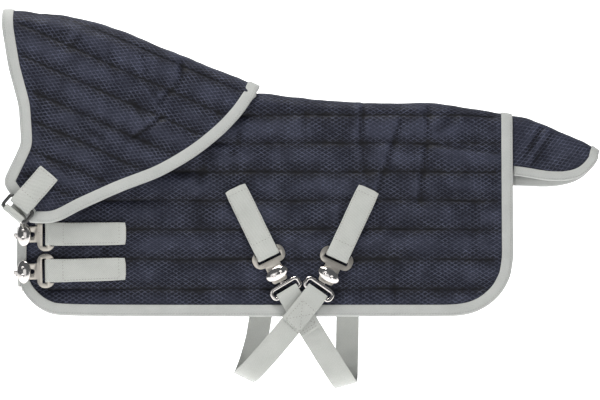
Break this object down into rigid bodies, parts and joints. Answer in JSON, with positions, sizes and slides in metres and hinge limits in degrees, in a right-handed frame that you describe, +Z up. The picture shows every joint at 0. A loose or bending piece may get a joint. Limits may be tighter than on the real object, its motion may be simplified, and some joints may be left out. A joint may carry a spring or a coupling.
{
  "type": "turnout rug",
  "caption": "Quilted toy pony rug folded along its spine, with hinged neck cover and tail flap, chest clips, crossed surcingles and a throat ring.",
  "frame": {"origin": "underside of the lining on the spine, at the middle of the back", "axes": "+X along the back towards the tail, +Z up, so -Y is the near (left) side"},
  "size_m": [0.5291, 0.0849, 0.3356],
  "materials": {
    "navy_cloth": "matt ripstop",
    "wadding": "matt",
    "grey_lining": "satin",
    "grey_tape": "satin",
    "grey_webbing": "satin weave",
    "nickel": "satin nickel",
    "chrome": "polished",
    "black_ring": "black semi-gloss"
  },
  "bodies": {
    "rug": {"body_outer_near": "navy_cloth", "body_filling_near": "wadding", "body_lining_near": "grey_lining", "body_binding_near": "grey_tape", "neckline_binding_near": "grey_tape", "body_outer_far": "navy_cloth", "body_filling_far": "wadding", "body_lining_far": "grey_lining", "body_binding_far": "grey_tape", "neckline_binding_far": "grey_tape", "chest_tab_upper": "grey_webbing", "chest_strap_upper": "grey_webbing", "chest_tab_lower": "grey_webbing", "chest_strap_lower": "grey_webbing", "surcingle_tab_front": "grey_webbing", "surcingle_strap_front": "grey_webbing", "surcingle_tab_rear": "grey_webbing", "surcingle_strap_rear": "grey_webbing"},
    "neck_cover": {"neck_outer_near": "navy_cloth", "neck_filling_near": "wadding", "neck_lining_near": "grey_lining", "neck_front_binding_near": "grey_tape", "neck_rear_binding_near": "grey_tape", "neck_outer_far": "navy_cloth", "neck_filling_far": "wadding", "neck_lining_far": "grey_lining", "neck_front_binding_far": "grey_tape", "neck_rear_binding_far": "grey_tape", "throat_tab": "grey_webbing", "throat_strap": "grey_webbing"},
    "tail_flap": {"tail_outer_near": "navy_cloth", "tail_lining_near": "grey_lining", "tail_binding_near": "grey_tape", "tail_outer_far": "navy_cloth", "tail_lining_far": "grey_lining", "tail_binding_far": "grey_tape"},
    "throat_ring": {"throat_ring": "black_ring"},
    "chest_keeper_upper": {"chest_keeper_upper": "nickel"},
    "chest_hook_upper": {"chest_hook_upper": "chrome"},
    "chest_keeper_lower": {"chest_keeper_lower": "nickel"},
    "chest_hook_lower": {"chest_hook_lower": "chrome"},
    "surcingle_keeper_front": {"surcingle_keeper_front": "nickel"},
    "surcingle_hook_front": {"surcingle_hook_front": "chrome"},
    "surcingle_keeper_rear": {"surcingle_keeper_rear": "nickel"},
    "surcingle_hook_rear": {"surcingle_hook_rear": "chrome"}
  },
  "joints": [
    {"name": "neck_lift", "type": "hinge", "parent": "rug", "child": "neck_cover", "pos_m": [-0.105, 0, 0.0184], "axis": [0, 1, 0], "range_deg": [0, 20]},
    {"name": "tail_lift", "type": "hinge", "parent": "rug", "child": "tail_flap", "pos_m": [0.1206, 0, -0.0073], "axis": [0, -1, 0], "range_deg": [0, 40]},
    {"name": "throat_ring_swing", "type": "hinge", "parent": "neck_cover", "child": "throat_ring", "pos_m": [-0.31174, -0.0395, -0.08505], "axis": [-0.764, 0.0661, 0.6418], "range_deg": [0, 2]},
    {"name": "chest_keeper_upper_lift", "type": "hinge", "parent": "rug", "child": "chest_keeper_upper", "pos_m": [-0.2895, -0.02787, -0.11202], "axis": [-0.0088, 0.1191, 0.9928], "range_deg": [0, 1.5]},
    {"name": "chest_hook_upper_tilt", "type": "hinge", "parent": "chest_keeper_upper", "child": "chest_hook_upper", "pos_m": [-0.31465, -0.02439, -0.11266], "axis": [-0.0088, 0.1191, 0.9928], "range_deg": [-1.6, 0]},
    {"name": "chest_keeper_lower_lift", "type": "hinge", "parent": "rug", "child": "chest_keeper_lower", "pos_m": [-0.2895, -0.03174, -0.14425], "axis": [-0.0281, 0.1191, 0.9925], "range_deg": [0, 1.5]},
    {"name": "chest_hook_lower_tilt", "type": "hinge", "parent": "chest_keeper_lower", "child": "chest_hook_lower", "pos_m": [-0.31464, -0.02831, -0.14537], "axis": [-0.0281, 0.1191, 0.9925], "range_deg": [-1.6, 0]},
    {"name": "surcingle_keeper_front_lift", "type": "hinge", "parent": "rug", "child": "surcingle_keeper_front", "pos_m": [-0.09706, -0.03028, -0.12994], "axis": [-0.8997, -0.0703, -0.4307], "range_deg": [0, 3.2]},
    {"name": "surcingle_hook_front_tilt", "type": "hinge", "parent": "surcingle_keeper_front", "child": "surcingle_hook_front", "pos_m": [-0.08599, -0.0329, -0.15265], "axis": [-0.8997, -0.0703, -0.4307], "range_deg": [-9.64, 0]},
    {"name": "surcingle_keeper_rear_lift", "type": "hinge", "parent": "rug", "child": "surcingle_keeper_rear", "pos_m": [-0.03551, -0.02959, -0.13124], "axis": [-0.9075, 0.0437, 0.4178], "range_deg": [0, 3.2]},
    {"name": "surcingle_hook_rear_tilt", "type": "hinge", "parent": "surcingle_keeper_rear", "child": "surcingle_hook_rear", "pos_m": [-0.04615, -0.03373, -0.15393], "axis": [-0.9075, 0.0437, 0.4178], "range_deg": [-9.76, 0]}
  ],
  "couplings": [
    {"joint": "chest_hook_upper_tilt", "follows": "chest_keeper_upper_lift", "ratio": -1},
    {"joint": "chest_hook_lower_tilt", "follows": "chest_keeper_lower_lift", "ratio": -1},
    {"joint": "surcingle_hook_front_tilt", "follows": "surcingle_keeper_front_lift", "ratio": -2.98},
    {"joint": "surcingle_hook_rear_tilt", "follows": "surcingle_keeper_rear_lift", "ratio": -3.02}
  ]
}
